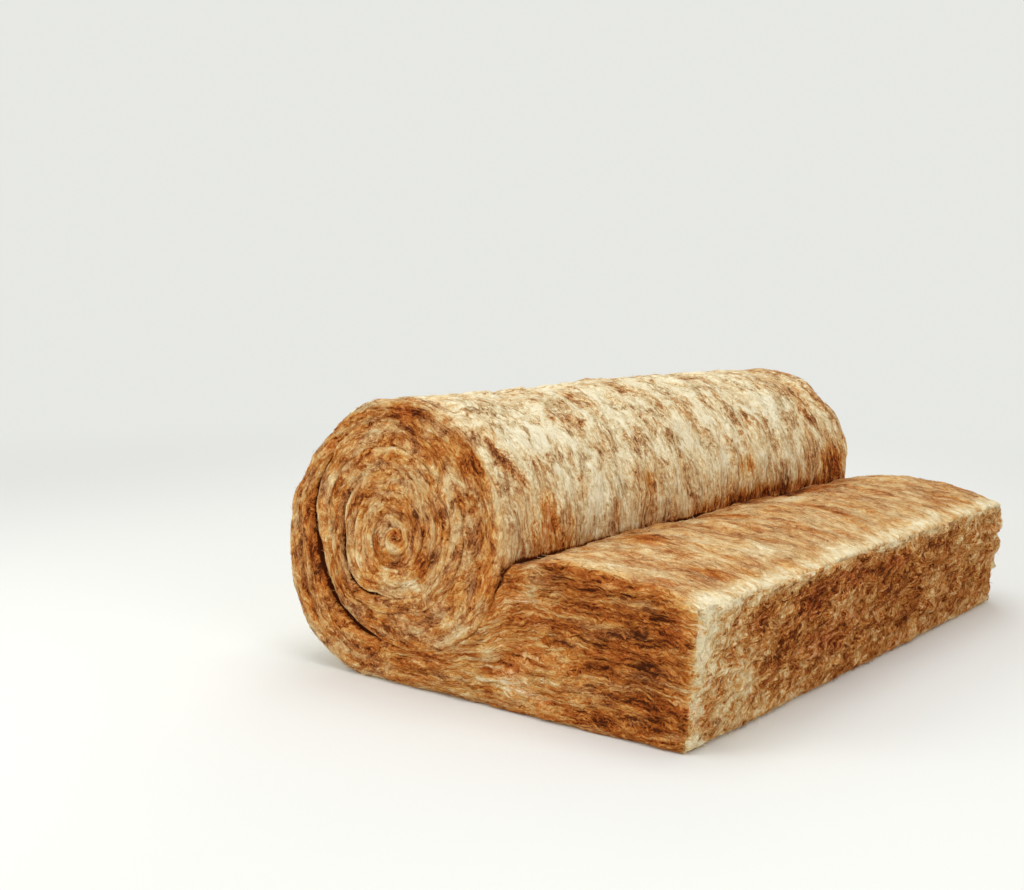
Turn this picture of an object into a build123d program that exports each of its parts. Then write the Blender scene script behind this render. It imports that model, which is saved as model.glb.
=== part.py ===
"""A glass wool insulation blanket, wound into a coil with its last stretch unrolled flat.

The blanket is one continuous mat. Its cut end stands free on the floor at the full,
recovered thickness. From there it runs back under the coil, where it is pressed thin, and
winds up the far side, over the top and down again, turn after turn, to the eye.
The origin is on the floor under the coil's axis, midway along its width. +X points to the
cut end, +Y lies along the coil's axis and +Z is up. Lengths are in millimetres.
"""

import os
from math import asin, cos, degrees, hypot, radians, sin, sqrt

from build123d import *

# The blanket
blanket_width = 1200.0
blanket_thickness = 208.0  # at the free cut end, where the wool has recovered
tail_reach = 336.0  # from the coil's side to the top of the cut end
cut_lean = 18.0  # how far the foot of the cut end stands back from its top
cut_edge_radius = 13.0
crown_rise = 36.0  # the tail's highest line, above the thickness at the cut end
crown_run = 114.0  # from the coil's side to that highest line

# The coil that the blanket winds into
coil_radius = 200.0
underlay = 58.0  # the blanket's thickness where the coil presses on it
outer_turn = 65.0  # the outermost turn, on the side away from the tail
top_turn = 39.0  # the same turn over the top, where it is drawn tight
next_turn = 30.0  # the first turn inside it
inner_turn = 30.0  # the turn round the eye
eye_sag = 0.41  # the share by which the turns' weight thickens them above the eye
eye_drift = 0.21  # the share by which they are thicker on the side away from the tail
eye_radius = 17.0  # no turn is wound tighter than this

# The crease between one turn and the next, and the worn edges beside it
crease_width = 3.0
crease_depth = 34.0  # how far it shows at each end of the coil
crease_reach = 12.0  # degrees that the crease beside the tail runs on, at full width
lip_width = 9.0  # of the sloping lip round every edge at both ends
lip_gap = 1.5  # the least flat left between the lips of one turn
shoulder_radius = 20.0  # where the tail's top turns down beside the coil
shoulder_drop = 19.0  # the shoulder's top, below the tail's highest line
shoulder_slope = 15.0  # degrees that the tail's top rises from the shoulder

# What follows from those sizes
coil_z = underlay + coil_radius
coil_centre = (0.0, coil_z)
back_radius = coil_radius + outer_turn
heel_radius = coil_z + coil_radius - back_radius
cut_x = coil_radius + tail_reach
crown_x = coil_radius + crown_run
crown_z = blanket_thickness + crown_rise

# The shoulder's centre, where its round touches the crease's outer wall
wall_radius = coil_radius + crease_width
shoulder_z = crown_z - shoulder_drop - shoulder_radius
shoulder_reach = wall_radius + shoulder_radius
shoulder_x = sqrt(shoulder_reach**2 - (shoulder_z - coil_z) ** 2)
mouth_angle = degrees(asin((shoulder_z - coil_z) / shoulder_reach))
crease_angle = mouth_angle - crease_reach

# No lip takes more than half of a turn, at the outermost turn's thinnest place or at the eye
slot_radius = coil_radius - top_turn + crease_width
thin_turn = back_radius - slot_radius - hypot(top_turn, coil_z - heel_radius)
loose_turn = 1 - hypot(eye_sag, eye_drift) / 2  # how much of its thickness a turn keeps
thin_turn = min(thin_turn, min(next_turn, inner_turn) * loose_turn - crease_width)
rim_width = min(lip_width, (thin_turn - lip_gap) / 2)


def polar(centre, radius, angle):
    """The point at that radius and angle, in degrees, round a centre."""
    return (
        centre[0] + radius * cos(radians(angle)),
        centre[1] + radius * sin(radians(angle)),
    )


def coil_arcs():
    """The crease between turns as (centre, radius, start angle, sweep), from tail to eye.

    It first follows the coil's round outside, under the coil to the far side. From there each
    quarter turn is smaller by one step, and has its centre on the radius where the last one
    ended, so the two are tangent. The first step is what the outermost turn measures over the
    top. Each one after it is a quarter of the turn's thickness there. It is less at the top
    than at the bottom, and less at the back than beside the tail, so that the eye sits low in
    the coil and a little towards the tail.
    """
    arcs = [(coil_centre, coil_radius, crease_angle, -180.0 - crease_angle)]
    centre, radius, angle, step = coil_centre, coil_radius, -180.0, top_turn
    while True:
        centre, radius = polar(centre, step, angle), radius - step
        if radius < eye_radius:
            return arcs
        arcs.append((centre, radius, angle, -90.0))
        wound = 1 - radius / coil_radius
        angle -= 90.0
        sag = eye_sag * sin(radians(angle)) - eye_drift * cos(radians(angle))
        step = (next_turn + (inner_turn - next_turn) * wound) / 4 * (1 - sag)


with BuildPart() as wool_blanket:
    # The section, from the crease beside the tail over the coil, round its back and under it
    with BuildSketch(Plane.XZ) as section:
        with BuildLine():
            CenterArc(coil_centre, coil_radius, crease_angle, 90 - crease_angle)
            CenterArc((0, heel_radius), back_radius, 90, 90)
            heel_centre = (heel_radius - back_radius, heel_radius)
            CenterArc(heel_centre, heel_radius, 180, 90)
            foot = Line((heel_centre[0], 0), (cut_x - cut_lean, 0))
            cut = Line(foot @ 1, (cut_x, blanket_thickness))
            shoulder = CenterArc(
                (shoulder_x, shoulder_z),
                shoulder_radius,
                90 + shoulder_slope,
                90 + mouth_angle - shoulder_slope,
            )
            Spline(
                shoulder @ 0,
                (crown_x, crown_z),
                cut @ 1,
                tangents=[
                    (cos(radians(shoulder_slope)), sin(radians(shoulder_slope))),
                    (cut_x - crown_x, -2 * crown_rise),
                ],
            )
            crease_wall = CenterArc(coil_centre, wall_radius, mouth_angle, -crease_reach)
            Line(crease_wall @ 1, polar(coil_centre, coil_radius, crease_angle))
        make_face()
        cut_top = section.vertices().sort_by(Axis.X)[-1]
        cut_foot = section.vertices().group_by(Axis.Y)[0].sort_by(Axis.X)[-1]
        fillet([cut_top, cut_foot], cut_edge_radius)
    extrude(amount=blanket_width / 2, both=True)

    # The crease shows at each end as one spiral slot between the turns
    slot_arcs = coil_arcs()
    eye_centre, eye_turn, eye_start, eye_sweep = slot_arcs[-1]
    tip_angle = eye_start + eye_sweep
    for side in (-1, 1):
        with BuildSketch(Plane.XZ.offset(side * (blanket_width / 2 - crease_depth))):
            with BuildLine():
                for centre, radius, start, sweep in slot_arcs:
                    CenterArc(centre, radius, start, sweep)
                    CenterArc(centre, radius + crease_width, start, sweep)
                tip = polar(eye_centre, eye_turn + crease_width / 2, tip_angle)
                CenterArc(tip, crease_width / 2, tip_angle, -180)
                Line(
                    polar(coil_centre, coil_radius, crease_angle),
                    polar(coil_centre, wall_radius, crease_angle),
                )
            make_face()
        extrude(amount=side * crease_depth, mode=Mode.SUBTRACT)

    # Every edge at both ends slopes off, along the turns as round the outside
    rims = wool_blanket.edges().group_by(Axis.Y)
    chamfer(rims[0] + rims[-1], rim_width)

wool_blanket.part.label = "wool_blanket"

os.makedirs("parts", exist_ok=True)
export_step(wool_blanket.part, "parts/wool_blanket.step")
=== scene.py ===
import bpy
import numpy as np
from mathutils import Matrix, Vector, noise
from mathutils.bvhtree import BVHTree


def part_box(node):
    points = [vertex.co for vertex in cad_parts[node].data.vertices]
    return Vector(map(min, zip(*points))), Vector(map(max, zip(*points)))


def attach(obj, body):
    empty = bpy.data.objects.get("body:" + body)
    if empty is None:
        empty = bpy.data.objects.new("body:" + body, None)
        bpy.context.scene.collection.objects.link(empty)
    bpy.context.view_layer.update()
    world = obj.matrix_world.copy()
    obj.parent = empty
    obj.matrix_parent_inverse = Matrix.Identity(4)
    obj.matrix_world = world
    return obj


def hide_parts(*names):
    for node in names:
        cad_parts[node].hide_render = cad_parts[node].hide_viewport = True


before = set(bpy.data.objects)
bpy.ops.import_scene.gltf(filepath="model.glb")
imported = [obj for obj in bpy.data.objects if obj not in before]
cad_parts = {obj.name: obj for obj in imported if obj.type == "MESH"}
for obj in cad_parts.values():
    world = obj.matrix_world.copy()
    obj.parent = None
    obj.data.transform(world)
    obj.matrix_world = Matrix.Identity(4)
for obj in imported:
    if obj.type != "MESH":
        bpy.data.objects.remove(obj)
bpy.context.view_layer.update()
lowCorner, highCorner = (np.array(corner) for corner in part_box("wool_blanket"))

print("camera")

cameraSetup = {
    "place": (1.48269, -2.25618, 0.66626),
    "turn": 37.52,  # degrees to the left of straight ahead
    "tilt": 7.11,  # degrees down
    "roll": 0.64,
    "lens": 50.41,  # mm, on the sensor below
    "sensor": 36.0,
}


def addCamera(setup):
    data = bpy.data.cameras.new("camera")
    data.lens, data.sensor_width = setup["lens"], setup["sensor"]
    camera = bpy.data.objects.new("camera", data)
    bpy.context.scene.collection.objects.link(camera)
    aim = Matrix.Translation(setup["place"])
    for degrees, axis in ((setup["turn"], "Z"), (90 - setup["tilt"], "X"), (setup["roll"], "Z")):
        aim = aim @ Matrix.Rotation(np.radians(degrees), 4, axis)
    camera.matrix_world = aim
    bpy.context.scene.camera = camera


addCamera(cameraSetup)

print("section of the blanket")

coil = {
    "radius": 0.200,
    "topTurn": 0.039,  # how thick the outermost turn is over the top
    "nextTurn": 0.030,  # the first turn inside it
    "innerTurn": 0.030,  # the turn round the eye
    "eyeSag": 0.41,
    "eyeDrift": 0.21,
    "eyeRadius": 0.017,
    "creaseAngle": -25.75,  # degrees, the bottom of the crease beside the tail
    "mouthAngle": -13.75,  # its top
    "mouthGap": 0.0016,
    "columnStep": 2.0,  # degrees round the eye
}
coilHeight = highCorner[2]
coilAxis = np.array((0.0, coilHeight - coil["radius"]))
backRadius = -lowCorner[0]  # of the outermost turn, on the side away from the tail
heelRadius = coilHeight - backRadius
halfWidth = highCorner[1]

tail = {
    "thickness": 0.208,  # at the cut end
    "lean": 0.018,  # how far the foot of the cut stands back from its top
    "cornerRadius": 0.013,
    "crown": (0.314, 0.244),  # the highest line of the top
    "crownSlope": -0.02,
    "shoulderRadius": 0.020,
    "shoulderDrop": 0.019,
    "shoulderSlope": 15.0,
    "wallRadius": 0.203,
    "columnStep": 0.0068,
}
cutTop = np.array((highCorner[0], tail["thickness"]))
cutFoot = np.array((highCorner[0] - tail["lean"], 0.0))


def polar(centre, radius, degrees):
    turn = np.radians(degrees)
    return np.stack((centre[0] + radius * np.cos(turn), centre[1] + radius * np.sin(turn)), -1)


def windingArcs():
    # the outer face of the blanket, clockwise from the heel to the eye: centre, radius, start, end
    arcs = [((heelRadius - backRadius, heelRadius), heelRadius, -90.0, -180.0)]
    arcs.append(((0.0, heelRadius), backRadius, 180.0, 90.0))
    arcs.append((tuple(coilAxis), coil["radius"], 90.0, -180.0))
    centre, radius, angle, step = coilAxis, coil["radius"], -180.0, coil["topTurn"]
    while radius - step >= coil["eyeRadius"]:
        centre, radius = polar(centre, step, angle), radius - step
        arcs.append((tuple(centre), radius, angle, angle - 90.0))
        wound = 1 - radius / coil["radius"]
        angle -= 90.0
        sag = coil["eyeSag"] * np.sin(np.radians(angle)) - coil["eyeDrift"] * np.cos(np.radians(angle))
        turn = coil["nextTurn"] + (coil["innerTurn"] - coil["nextTurn"]) * wound
        step = turn / 4 * (1 - sag)
    return arcs


def windingPath():
    # how far the outer face is from the eye, by the angle wound so far from straight down
    arcs = windingArcs()
    eye = np.array(arcs[-1][0])
    line = [[(eye[0], 0.0)]]
    for centre, radius, start, end in arcs:
        line.append(polar(centre, radius, np.linspace(start, end, int(abs(end - start)) + 1)))
    offset = np.concatenate(line) - eye
    turned = -np.unwrap(np.arctan2(offset[:, 1], offset[:, 0]))
    wound = np.degrees(turned - turned[0])
    away = np.hypot(offset[:, 0], offset[:, 1])
    wound = np.append(wound, wound[-1] + np.linspace(40, 400, 10))  # on into the eye
    away = np.append(away, away[-1] * np.linspace(0.94, 0.0, 10))
    return eye, wound, away


eye, windAngles, windRadii = windingPath()
columnsPerTurn = int(360 / coil["columnStep"])
columnCount = int(windAngles[-1] / coil["columnStep"])


def outerFace(wound):
    # a point on the outer face, once the blanket has wound that far
    return polar(eye, np.interp(wound, windAngles, windRadii), -90.0 - wound)


creasePoint = polar(coilAxis, coil["radius"], coil["creaseAngle"])
creaseTurn = np.degrees(np.arctan2(creasePoint[1] - eye[1], creasePoint[0] - eye[0]))
creaseColumn = round((270.0 - creaseTurn) / coil["columnStep"])
creaseCount = columnCount - creaseColumn  # the columns whose outer face is in the crease
columnAngles = np.arange(columnCount + 1) * coil["columnStep"]
nextTurn = (np.arange(columnCount + 1) + columnsPerTurn) * coil["columnStep"]
facePoints = outerFace(columnAngles)
faceRadii = np.interp(columnAngles, windAngles, windRadii)
thickness = faceRadii - np.interp(nextTurn, windAngles, windRadii, right=0.0)


def steps(start, end, pitch):
    return np.linspace(start, end, max(2, round(abs(end - start) / pitch) + 1))


def curveThrough(start, end, startSlope, endSlope, pitch):
    # a smooth rise between two points, given by its slopes
    x = steps(start[0], end[0], pitch)
    run = end[0] - start[0]
    t = (x - start[0]) / run
    z = (2 * t**3 - 3 * t**2 + 1) * start[1] + (3 * t**2 - 2 * t**3) * end[1]
    z += run * ((t**3 - 2 * t**2 + t) * startSlope + (t**3 - t**2) * endSlope)
    return np.stack((x, z), 1)


def roundCorner(before, corner, after, radius, count):
    # the points of an arc that rounds a corner
    a, b = before - corner, after - corner
    a, b = a / np.linalg.norm(a), b / np.linalg.norm(b)
    half = np.arccos(a @ b) / 2
    centre = corner + (a + b) / np.linalg.norm(a + b) * radius / np.sin(half)
    start, end = (corner + side * radius / np.tan(half) - centre for side in (a, b))
    first = np.arctan2(start[1], start[0])
    sweep = (np.arctan2(end[1], end[0]) - first + np.pi) % (2 * np.pi) - np.pi
    return polar(centre, radius, np.degrees(first + sweep * np.linspace(0, 1, count)))


def sectionLoop():
    # clockwise: the coil from the floor to the crease, the crease's wall with the tail's top, the
    # cut end, and the middle of the round at its foot
    onCoil = facePoints[: creaseColumn + 1]
    shoulderZ = tail["crown"][1] - tail["shoulderDrop"] - tail["shoulderRadius"]
    reach = tail["wallRadius"] + tail["shoulderRadius"]
    shoulder = np.array((np.sqrt(reach**2 - (shoulderZ - coilAxis[1]) ** 2), shoulderZ))
    leftMost = 180 + coil["mouthAngle"]
    bend = polar(shoulder, tail["shoulderRadius"], np.linspace(leftMost, 90 + tail["shoulderSlope"], 5))
    bend += np.array((coil["mouthGap"] - 0.003, 0)) * np.linspace(1, 0.3, 5)[:, None]
    wallAngle = np.linspace(coil["creaseAngle"], coil["mouthAngle"], 7)[1:-1]
    opening = np.linspace(0, 1, 7)[1:-1] ** 0.8
    wall = polar(coilAxis, coil["radius"] + coil["mouthGap"] * opening, wallAngle)
    crown = np.array(tail["crown"])
    shoulderSlope = np.tan(np.radians(tail["shoulderSlope"]))
    rise = curveThrough(bend[-1], crown, shoulderSlope, tail["crownSlope"], tail["columnStep"])
    endSlope = 2 * (cutTop[1] - crown[1]) / (cutTop[0] - crown[0])
    fall = curveThrough(crown, cutTop, tail["crownSlope"], endSlope, tail["columnStep"])
    topArc = roundCorner(fall[-4], cutTop, cutFoot, tail["cornerRadius"], 7)
    footArc = roundCorner(cutTop, cutFoot, np.array((0.0, 0.0)), tail["cornerRadius"], 7)
    fall = fall[fall[:, 0] < topArc[0, 0] - 0.003]
    down = footArc[0] - topArc[-1]
    along = steps(0, np.linalg.norm(down), tail["columnStep"])[1:-1]
    cut = topArc[-1] + down * (along / np.linalg.norm(down))[:, None]
    top = np.concatenate((wall, bend, rise[1:], fall[1:], topArc[:4]))  # ends at the corner's middle
    end = np.concatenate((topArc[4:], cut, footArc[:3]))
    return onCoil, top, end, footArc[3]


onCoil, onTop, onCut, footPoint = sectionLoop()
# every column of the tail runs up from the floor to the top, or to the coil that presses on it
underCoil = facePoints[creaseColumn : columnsPerTurn + 1]
tailTops = np.concatenate((onTop[::-1], underCoil))  # from the cut end to straight under the eye
leanShare = np.clip((tailTops[:, 0] - onTop[8, 0]) / (onTop[-1, 0] - onTop[8, 0]), 0, 1)
tailFeetX = tailTops[:, 0] - (onTop[-1, 0] - footPoint[0]) * leanShare
tailFeetX[-1] = eye[0]
floorX = tailFeetX[:-1:2]  # one floor point for two columns
onFloor = np.stack((floorX, np.zeros(len(floorX))), 1)
onFloor[0] = footPoint
loop = np.concatenate((onCoil, onTop, onCut, onFloor))
loopStarts = np.cumsum([0, len(onCoil), len(onTop), len(onCut)])  # coil, top, cut, floor
loopCount = len(loop)

print("  columns", columnCount, "loop", loopCount)

mat = {
    "unrolled": 0.13,  # the depth that the pattern in the wool is drawn for, in metres
    "pressed": 0.35,  # how much of the pattern is squeezed with the mat, where it is thinner
    "rowStep": 0.0054,
    "rimRadius": 0.013,
    "lipRadius": 0.0065,
    "lipRows": (0.0, 0.0025, 0.006, 0.011),  # rows beside an edge, from it
    "rowPitch": 0.0085,  # of the rows between
    "closedLip": 0.002,  # under this a crease is as good as shut
    "openLip": 0.0014,  # over this, half its width, it has steep walls
    "fullTurn": 0.04,  # turns thinner than this have smaller lips
    "thinnest": 0.004,
}


crease = {
    # at the ends, by the degrees wound: how wide it stands open, how far the turns part beside it
    # and how deep it is, each as a least value and swellings of so much, at a place, over so far
    "gap": (0.0009, ((0.0150, 422, 44), (0.0060, 1142, 42), (0.0010, 300, 30), (0.0006, 880, 26))),
    "parting": (
        0.24,
        ((0.75, 424, 46), (0.75, 1142, 60), (0.20, 300, 22), (0.30, 890, 34), (0.30, 640, 46)),
    ),
    "depth": (0.0010, ((0.042, 422, 44), (0.016, 1142, 48), (0.004, 295, 26), (0.0015, 884, 28))),
    "uneven": 0.16,  # how much the parting varies
    "closes": (1240, 1360),  # from here to here the turns part less and less, towards the eye
    "closed": 0.8,
    "halfTurn": 0.6,  # no deeper than this share of the turn
}


def bell(x, middle, spread):
    return np.exp(-(((x - middle) / spread) ** 2))


def bells(x, rows):
    return sum(height * bell(x, middle, spread) for height, middle, spread in rows)


def smoothStep(x, start, end):
    t = np.clip((x - start) / (end - start), 0, 1)
    return t * t * (3 - 2 * t)


def swelling(name, wound):
    least, rows = crease[name]
    return least + bells(wound, rows)


def creaseGap(wound):
    return swelling("gap", wound)


def lipShare(wound):
    # how far the turns part: over most of the crease's length they have matted together
    wave = np.sin(np.radians(1.7 * wound)) * np.sin(np.radians(0.93 * wound + 40))
    closing = 1 - crease["closed"] * smoothStep(wound, *crease["closes"])
    return min(1.0, swelling("parting", wound) + crease["uneven"] * wave) * closing


def creaseDepth(wound):
    return swelling("depth", wound) + mat["lipRadius"] * lipShare(wound)


def sinkAt(j):
    # how deep the crease is at a column: less in the thin turns round the eye
    return min(creaseDepth(j * coil["columnStep"]), crease["halfTurn"] * thickness[j] + 0.002)


def rimShare(i):
    # the ends' edges are rounded less where the tail leaves the coil, by the place in the loop
    return 1 - 0.8 * bell(i, creaseColumn, 8)


def drawnDepth(thick, wound=0.0):
    # how much of the pattern's depth a mat of that thickness shows; in the coil it is all real depth
    pressed = mat["pressed"] * (1 - smoothStep(wound, 0, 360))
    return pressed + (1 - pressed) * thick / mat["unrolled"]


def roundOver(distance, radius):
    # how far a rounded edge falls back, that far from the edge
    inside = np.clip(radius - distance, 0, radius)
    return radius - np.sqrt(radius**2 - inside**2)


cornerShare = 1 - np.sqrt(0.5)  # the middle of a rounded edge lies this share of its radius in


def rowPlaces(thick, firstLip, lastLip):
    # places across the blanket: close together by both faces, where its edges turn over
    shrink = min(1.0, thick / 0.045)
    lips = np.array(mat["lipRows"]) * shrink
    first, last = firstLip * shrink + lips, thick - lastLip * shrink - lips[::-1]
    count = max(1, round((last[0] - first[-1]) / mat["rowPitch"]))
    return np.concatenate((first, np.linspace(first[-1], last[0], count + 2)[1:-1], last))


class EndLayout:
    # the flat layout of one end: columns across the blanket, zipped into triangles; a corner in a
    # column is a point, how far along the blanket it lies, its share of the depth and the depth drawn
    def __init__(self):
        self.points = [tuple(p) for p in loop]
        self.sunk = [0.0] * loopCount
        self.columns = []
        self.creaseIds = {j: j for j in range(creaseColumn + 1)}
        for j in range(creaseColumn + 1, columnCount + 1):
            self.creaseIds[j] = self.add(facePoints[j], sinkAt(j))
        self.centreId = self.add(eye, 0.001)

    def add(self, point, sunk):
        self.points.append(tuple(point))
        self.sunk.append(float(sunk))
        return len(self.points) - 1


def addTail(layout):
    # from the cut end, whose own points are the first column, to straight under the eye
    rim = mat["rimRadius"]
    cutDirection = (cutTop - cutFoot) / np.linalg.norm(cutTop - cutFoot)
    cutNormal = np.array((-cutDirection[1], cutDirection[0]))
    cutIds = list(range(loopStarts[3], loopStarts[2] - 2, -1))  # from its foot up
    height = np.array([layout.points[i][1] for i in cutIds])
    travel = -(tailTops[0, 0] + footPoint[0]) / 2 + eye[0]
    share = (height - height[0]) / (height[-1] - height[0])
    layout.columns.append([(i, travel, d, d * drawnDepth(cutTop[1])) for i, d in zip(cutIds, share)])
    for c in range(1, len(tailTops) - 1):
        foot = np.array((tailFeetX[c], 0.0))
        top = tailTops[c]
        onWall = c >= len(onTop)  # under the coil
        j = creaseColumn + c - len(onTop)
        topId = layout.creaseIds[j] if onWall else loopStarts[2] - 1 - c
        height = np.linalg.norm(top - foot)
        topLip = cornerShare * rim
        if onWall and j > creaseColumn:
            topLip = creaseGap(j * coil["columnStep"]) / 2
        places = rowPlaces(height, cornerShare * rim, topLip)
        travel = -(foot[0] + top[0]) / 2 + eye[0]
        drawn = drawnDepth(height)
        column = [(loopStarts[3] + c // 2, travel, 0.0, 0.0)]
        for place in places[1:] if topLip < mat["closedLip"] else places[1:-1]:
            point = foot + (top - foot) * place / height
            fromCut = (cutFoot - point) @ cutNormal
            sunk = roundOver(place, rim) + roundOver(abs(fromCut), rim)
            if onWall:
                sunk += lipShare(j * coil["columnStep"]) * roundOver(height - place, mat["lipRadius"])
            else:
                sunk += rimShare(topId) * roundOver(height - place, rim)
            share = place / height
            column.append((layout.add(point, min(sunk, rim)), travel, share, share * drawn))
        column.append((topId, travel, 1.0, drawn))
        layout.columns.append(column)


def addCoil(layout, travels):
    # from straight under the eye round and round into it
    rim, openLip = mat["rimRadius"], mat["openLip"]
    for j in range(columnCount + 1):
        thick = thickness[j]
        wound = j * coil["columnStep"]
        drawn = drawnDepth(thick, wound)
        if thick < mat["thinnest"]:  # the last of the spiral closes on the eye
            ends = ((layout.creaseIds[j], 0.0), (layout.centreId, 1.0))
            layout.columns.append([(i, travels[j], share, share * drawn) for i, share in ends])
            continue
        outward = (facePoints[j] - eye) / max(np.linalg.norm(facePoints[j] - eye), 1e-6)
        onRim = j <= creaseColumn
        firstLip = cornerShare * rim if onRim else creaseGap(wound) / 2
        lastLip = creaseGap(wound + 360) / 2
        places = rowPlaces(thick, firstLip, lastLip)
        across = [(layout.creaseIds[j], 0.0)]
        if not onRim and firstLip > openLip:  # an open crease has steep walls
            wall = facePoints[j] - outward * places[0] * 0.8
            across.append((layout.add(wall, 0.45 * sinkAt(j)), 0.8 * places[0] / thick))
        lipRadius = mat["lipRadius"] * min(1, thick / mat["fullTurn"])
        for place in places[1:] if onRim else places:
            if onRim:
                edge = rimShare(j) * roundOver(place, rim)
            else:
                edge = lipShare(wound) * roundOver(place - firstLip, lipRadius)
            edge += lipShare(wound + 360) * roundOver(thick - place - lastLip, lipRadius)
            across.append((layout.add(facePoints[j] - outward * place, edge), place / thick))
        if j + columnsPerTurn <= columnCount and lastLip > openLip:
            rest = 0.8 * (thick - places[-1])
            wall = facePoints[j] - outward * (thick - rest)
            across.append((layout.add(wall, 0.45 * sinkAt(j + columnsPerTurn)), 1 - rest / thick))
        across.append((layout.creaseIds.get(j + columnsPerTurn, layout.centreId), 1.0))
        layout.columns.append([(i, travels[j], share, share * drawn) for i, share in across])


def layOutEnd():
    layout = EndLayout()
    addTail(layout)
    pieces = (faceRadii - thickness / 2)[:-1] * np.radians(coil["columnStep"])
    travels = np.concatenate(((0,), np.cumsum(pieces)))
    addCoil(layout, travels)
    print("  end columns", len(layout.columns), "points", len(layout.points))
    return layout, travels


def zipColumns(first, second, triangles):
    # triangles between two neighbouring columns, whatever their counts
    i = j = 0
    while i < len(first) - 1 or j < len(second) - 1:
        if j == len(second) - 1 or (i < len(first) - 1 and first[i + 1][2] <= second[j + 1][2]):
            corners = (first[i], first[i + 1], second[j])
            i += 1
        else:
            corners = (first[i], second[j + 1], second[j])
            j += 1
        if len({corner[0] for corner in corners}) == 3:
            triangles.append(corners)


print("blanket mesh")
layout, coilTravels = layOutEnd()
endTriangles = []
for first, second in zip(layout.columns[:-1], layout.columns[1:]):
    zipColumns(first, second, endTriangles)

rowCount = round(2 * halfWidth / mat["rowStep"])
skinEnd = halfWidth - cornerShare * mat["rimRadius"]
rowY = np.linspace(-skinEnd, skinEnd, rowCount)


def loopNormals():
    along = np.roll(loop, -1, 0) - np.roll(loop, 1, 0)
    outward = np.stack((-along[:, 1], along[:, 0]), 1)
    outward /= np.linalg.norm(outward, axis=1)[:, None]
    outward[creaseColumn] = 0
    return outward


def loopFlows():
    # how far along and how deep in the blanket each loop point is, for the stretch after and before it
    tailTravel = -(tailTops[:, 0] + tailFeetX) / 2 + eye[0]
    drawn = drawnDepth(np.hypot(tailTops[:, 0] - tailFeetX, tailTops[:, 1]))
    coilPart = np.stack((coilTravels[: creaseColumn + 1], np.zeros(creaseColumn + 1)), 1)
    topPart = np.stack((tailTravel[: len(onTop)], drawn[: len(onTop)]), 1)[::-1]
    share = (onCut[:, 1] - footPoint[1]) / (onTop[-1, 1] - footPoint[1])
    cutPart = np.stack((np.full(len(onCut), tailTravel[0]), share * drawn[0]), 1)
    floorPart = np.stack((tailTravel[:-1:2], np.zeros(len(onFloor))), 1)
    after = np.concatenate((coilPart, topPart, cutPart, floorPart))
    before = after.copy()
    after[creaseColumn] = (tailTravel[len(onTop)], drawn[len(onTop)])
    return after, before


coilSkin, coilEnd, tailSide, tailTop, cutEnd, underside = range(6)  # the blanket's zones


def buildBlanket():
    normals = loopNormals()
    after, before = loopFlows()
    fallBack = roundOver(halfWidth - np.abs(rowY), mat["rimRadius"])
    fallBack = np.outer(fallBack, rimShare(np.arange(loopCount)))
    skin = np.zeros((rowCount, loopCount, 3))
    skin[:, :, (0, 2)] = loop[None] - normals[None] * fallBack[:, :, None]
    skin[:, :, 1] = rowY[:, None]
    i = np.arange(loopCount)
    k = np.arange(rowCount - 1)[:, None]
    following = (i + 1) % loopCount
    a, b = k * loopCount + i, k * loopCount + following
    c, d = b + loopCount, a + loopCount
    cornerFlows = []
    for flow, rows in zip((after, before[following], before[following], after), (0, 0, 1, 1)):
        rows = np.broadcast_to(rowY[rows : rowCount - 1 + rows, None], (rowCount - 1, loopCount))
        along, deep = (np.broadcast_to(flow[:, n], rows.shape) for n in (0, 1))
        cornerFlows.append(np.stack((along, rows, deep), -1))
    flowA, flowB, flowC, flowD = cornerFlows
    faces = [np.stack((a, b, c), -1).reshape(-1, 3), np.stack((a, c, d), -1).reshape(-1, 3)]
    zone = np.full(loopCount, coilSkin)
    zone[creaseColumn : loopStarts[2] - 1] = tailTop
    zone[loopStarts[2] - 1 : loopStarts[3]] = cutEnd
    zone[loopStarts[3] :] = underside
    for flow in cornerFlows:
        # the cut goes across the fibres, so its pattern runs along the cut and slants down it
        _, across, deep = flow[:, zone == cutEnd].transpose(2, 0, 1)
        flow[:, zone == cutEnd] = np.stack((0.16 * deep - 1.5 * across, 3.0 + 0.2 * across, 1.25 * deep), -1)
    flows = [
        np.stack((flowA, flowB, flowC), 2).reshape(-1, 3, 3),
        np.stack((flowA, flowC, flowD), 2).reshape(-1, 3, 3),
    ]
    skinZone = np.broadcast_to(zone, (rowCount - 1, loopCount)).reshape(-1)
    zones = [skinZone, skinZone]
    points = [skin.reshape(-1, 3)]
    ids = np.array([[corner[0] for corner in t] for t in endTriangles])
    flat = np.array([[(corner[1], 0.0, corner[3]) for corner in t] for t in endTriangles])
    inner = np.array(layout.points)[loopCount:]
    sunk = np.array(layout.sunk)[loopCount:]
    for side, row in ((-1, 0), (1, rowCount - 1)):
        base = sum(len(p) for p in points)
        y = side * (halfWidth - sunk)
        points.append(np.stack((inner[:, 0], y, inner[:, 1]), 1))
        corners = np.where(ids < loopCount, ids + row * loopCount, ids - loopCount + base)
        flow = flat.copy()
        flow[:, :, 1] = side * halfWidth
        zones.append(np.where(flow[:, :, 0].mean(1) < 0, tailSide, coilEnd))
        faces.append(corners if side < 0 else corners[:, ::-1])
        flows.append(flow if side < 0 else flow[:, ::-1])
    return np.concatenate(points), np.concatenate(faces), np.concatenate(flows), np.concatenate(zones)


points, faces, flows, zones = buildBlanket()
print("  blanket points", len(points), "triangles", len(faces))


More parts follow.
